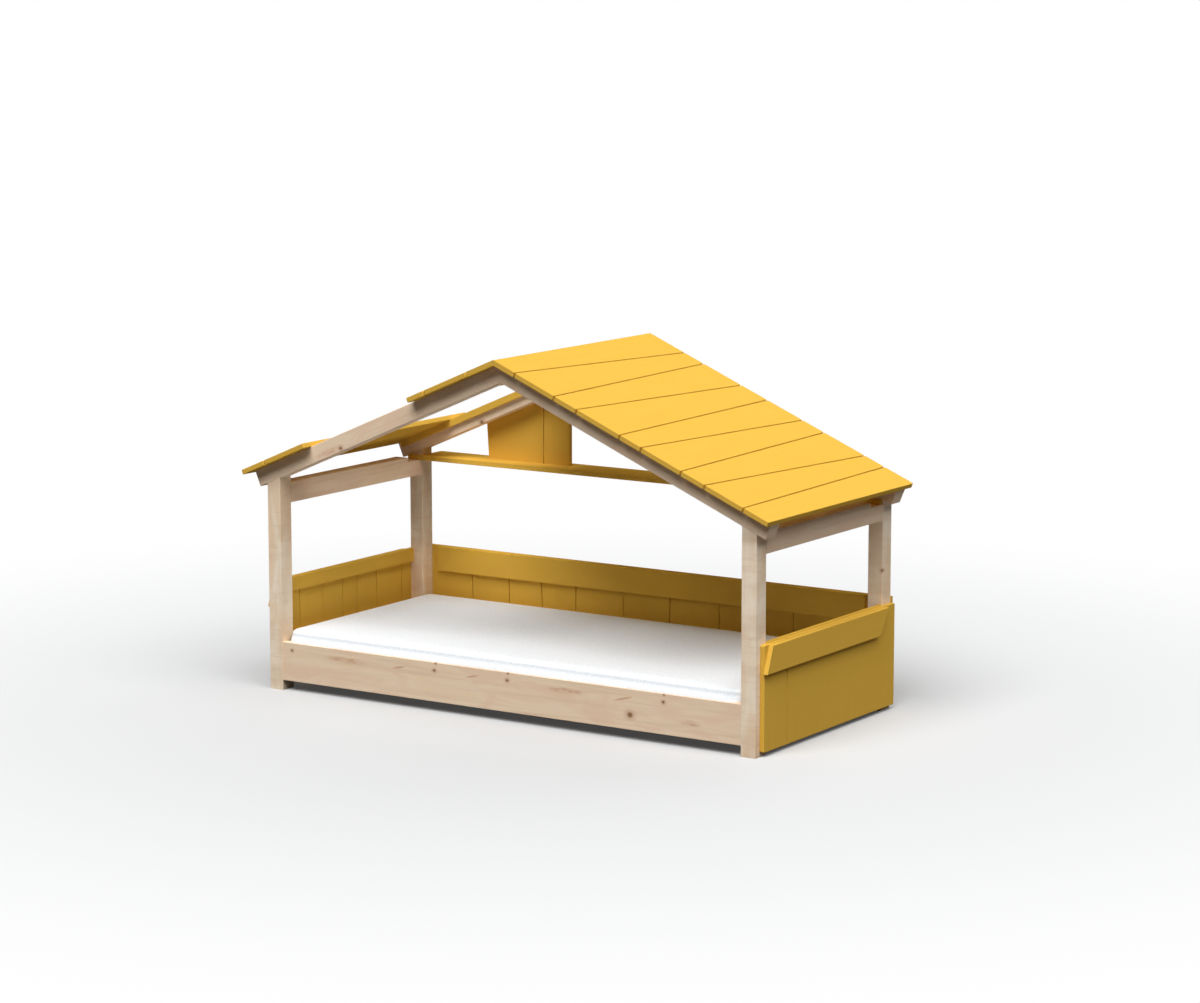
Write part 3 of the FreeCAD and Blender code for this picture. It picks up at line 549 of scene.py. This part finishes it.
def rounded(point, half):
    """A point of the block after its upright corners and its edges are rounded.

    Gives the point in plan, its height, the way outwards there, and how near it is to the
    border: 1 on the border and 0 where the top and the underside are flat.
    """
    core_x, core_y = half.x - CORNER_ROUND, half.y - CORNER_ROUND
    held = Vector((clamp(point.x, -core_x, core_x), clamp(point.y, -core_y, core_y)))
    out = point.to_2d() - held
    reach = max(abs(out.x), abs(out.y))
    out = out.normalized()
    level = abs(point.z)
    width, depth = (ROLL_WIDTH, ROLL_DEPTH) if point.z > 0 else (FOOT_ROUND, FOOT_ROUND)
    across = max(0.0, reach - (CORNER_ROUND - width)) / width
    down = max(0.0, level - (half.z - depth)) / depth
    if across > 0 and down > 0:
        # the corner of a square becomes a quarter of an ellipse
        shrink = max(across, down) / math.hypot(across, down)
        reach = CORNER_ROUND - width + across * shrink * width
        level = half.z - depth + down * shrink * depth
    return held + out * reach, math.copysign(level, point.z), out, clamp(across)


def border_offset(below_top, above_rail, forward):
    """How far the border stands out at a level; forward is 1 on the front, 0 on other sides."""
    seam = SEAM_DEPTH * math.exp(-(((below_top - SEAM_LEVEL) / SEAM_HALF) ** 2))
    rise = clamp((above_rail - LIP_GAP) / LIP_HEIGHT)
    swell = clamp((below_top - SEAM_LEVEL) / BORDER_SWELL)
    return OVERHANG * forward * rise * (SEAM_OVERHANG + (1 - SEAM_OVERHANG) * swell) - seam


def cover_rise(flat, half):
    """How far the cover's top lies from the block's: a crown with slight ripples."""
    bow = (1 - (flat.x / half.x) ** 4) * (1 - min(1.0, abs(flat.y / half.y)) ** 4)
    ripple = noise.noise(Vector((flat.x * RIPPLE_SCALE, flat.y * RIPPLE_SCALE, RIPPLE_LAYER)))
    return RIPPLE_HEIGHT * ripple * bow - CROWN * (1 - bow) - TOP_DROP


def make_mattress():
    """A foam mattress in its cover: crowned top, soft corners, a rolled edge and a sewn border."""
    low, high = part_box("mattress")
    rail_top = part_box("front_rail")[1].z
    middle = (low + high) / 2
    half = (high - low) / 2
    bm = cut_block(low, high, rail_top)
    for vert in bm.verts:
        flat, z, out, near_border = rounded(vert.co - middle, half)
        to_end, to_side = flat.x / half.x, flat.y / half.y
        forward = max(0.0, -out.y) ** 2 * (1 - to_end ** FRONT_FADE)
        offset = border_offset(half.z - z, middle.z + z - rail_top, forward)
        draw = SIDE_DRAW * ((1 - to_end ** 2) * out.y ** 2 + (1 - to_side ** 2) * out.x ** 2)
        flat = flat + out * (offset - draw) * near_border ** 2
        if z > 0:
            z += cover_rise(flat, half)
        vert.co = middle + Vector((flat.x, flat.y, z))
    bmesh.ops.smooth_vert(
        bm, verts=bm.verts, factor=SMOOTHING, use_axis_x=True, use_axis_y=True, use_axis_z=True
    )
    bmesh.ops.recalc_face_normals(bm, faces=bm.faces)
    for face in bm.faces:
        face.smooth = True
    mesh = bpy.data.meshes.new("mattress_form")
    bm.to_mesh(mesh)
    bm.free()
    piece = bpy.data.objects.new("foam_mattress", mesh)
    scene.collection.objects.link(piece)
    mesh.materials.append(cover())
    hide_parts("mattress")
    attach(piece, "mattress")


make_mattress()


# ---------------------------------------------------------------- floor, light and camera
FLOOR_HALF = 150.0
FLOOR_WHITE = (0.632, 0.638, 0.645, 1.0)
FLOOR_BOUNCE = (0.12, 0.12, 0.12, 1.0)   # the floor's colour in the light that it throws back
SHADOWED_TO = 1.2        # the floor shows the bed's shadow up to this far from its middle
WHITE_FROM = 4.2         # and is plain white from here
PAINTED_FLOOR_GLOW = 0.05              # painted light: near the bed the floor also glows this much white, which lightens the bed's shadow on it and under it

# soft lamps, as (name, direction that the light comes from, strength, spread in degrees)
LAMPS = [
    ("front_light", (0.05, -0.56, 0.83), 2.95, 42.0),
    ("right_light", (0.60, -0.13, 0.79), 1.6, 40.0),
    ("back_light", (0.0, 0.62, 0.78), 0.6, 45.0),
]

# the photograph's camera, solved from the frame's edges
POST_FOOT = (-1.0512552, -0.4935, 0.0)           # the front left post's outer front corner
CAMERA_PLACE = (8.03733, -10.05441, 2.75901)     # from POST_FOOT
CAMERA_TURN = 33.10      # degrees, to the left of looking along +Y
CAMERA_DIP = 9.075       # degrees below level
CAMERA_ROLL = -0.024
LENS = 104.11            # mm, as the sensor's width
SENSOR_WIDTH = 36.0
CAMERA_REACH = 500.0     # nothing further away is drawn


def make_floor():
    """A pale floor that keeps the bed's shadow near it, lightened by a painted glow, and is plain
    white further out.
    """
    bm = bmesh.new()
    bmesh.ops.create_grid(bm, x_segments=1, y_segments=1, size=FLOOR_HALF)
    mesh = bpy.data.meshes.new("floor")
    bm.to_mesh(mesh)
    bm.free()
    floor = bpy.data.objects.new("floor", mesh)
    scene.collection.objects.link(floor)
    finish = Finish("pale_floor")
    place = {0: finish.place()}
    away = finish.node("ShaderNodeVectorMath", {"operation": "LENGTH"}, place, output="Value")
    camera, glossy, through = [
        finish.node("ShaderNodeLightPath", output=ray)
        for ray in ("Is Camera Ray", "Is Glossy Ray", "Is Transmission Ray")
    ]
    # what the camera doesn't see, also in reflections, is darker and throws little light back
    seen = (camera + glossy + through).math("MINIMUM", 1.0)
    # painted light: a faint white glow on the floor near the bed lightens the shadow under and
    # around it; further out the floor turns to plain white
    far = (PAINTED_FLOOR_GLOW + away.between(SHADOWED_TO, WHITE_FROM) * (1 - PAINTED_FLOOR_GLOW)) * seen
    shade = finish.mix(seen, FLOOR_BOUNCE, FLOOR_WHITE)
    lit = finish.node("ShaderNodeBsdfDiffuse", None, {"Color": shade})
    white = finish.node("ShaderNodeEmission", None, {"Color": WHITE, "Strength": 1.0})
    ground = finish.node("ShaderNodeMixShader", None, {0: far, 1: lit, 2: white})
    finish.feed(finish.tree.nodes["Material Output"].inputs["Surface"], ground)
    finish.tree.nodes.remove(finish.shader)
    mesh.materials.append(finish.material)


def make_sky():
    """A sky that is plain white to the camera and in reflections, and gives no light."""
    world = bpy.data.worlds.new("studio")
    scene.world = world
    sky = Nodes(world)
    camera = sky.node("ShaderNodeLightPath", output="Is Camera Ray")
    glossy = sky.node("ShaderNodeLightPath", output="Is Glossy Ray")
    background = sky.tree.nodes["Background"]
    sky.feed(background.inputs["Color"], WHITE)
    sky.feed(background.inputs["Strength"], camera.math("MAXIMUM", glossy))


def make_lamp(name, source, strength, spread):
    """A soft lamp far away, whose light comes from the direction of source."""
    lamp = bpy.data.lights.new(name, "SUN")
    lamp.energy = strength
    lamp.angle = math.radians(spread)
    holder = bpy.data.objects.new(name, lamp)
    holder.rotation_mode = "QUATERNION"
    holder.rotation_quaternion = Vector(source).to_track_quat("Z", "Y")
    scene.collection.objects.link(holder)


def make_camera():
    """The photograph's view."""
    data = bpy.data.cameras.new("camera")
    data.lens = LENS
    data.sensor_width = SENSOR_WIDTH
    data.sensor_fit = "HORIZONTAL"
    data.clip_end = CAMERA_REACH
    camera = bpy.data.objects.new("camera", data)
    turn = Matrix.Rotation(math.radians(CAMERA_TURN), 4, "Z")
    tilt = Matrix.Rotation(math.radians(90.0 - CAMERA_DIP), 4, "X")
    roll = Matrix.Rotation(math.radians(CAMERA_ROLL), 4, "Z")
    place = Matrix.Translation(Vector(CAMERA_PLACE) + Vector(POST_FOOT))
    camera.matrix_world = place @ turn @ tilt @ roll
    scene.collection.objects.link(camera)
    scene.camera = camera


make_floor()
make_sky()
for lamp in LAMPS:
    make_lamp(*lamp)
make_camera()
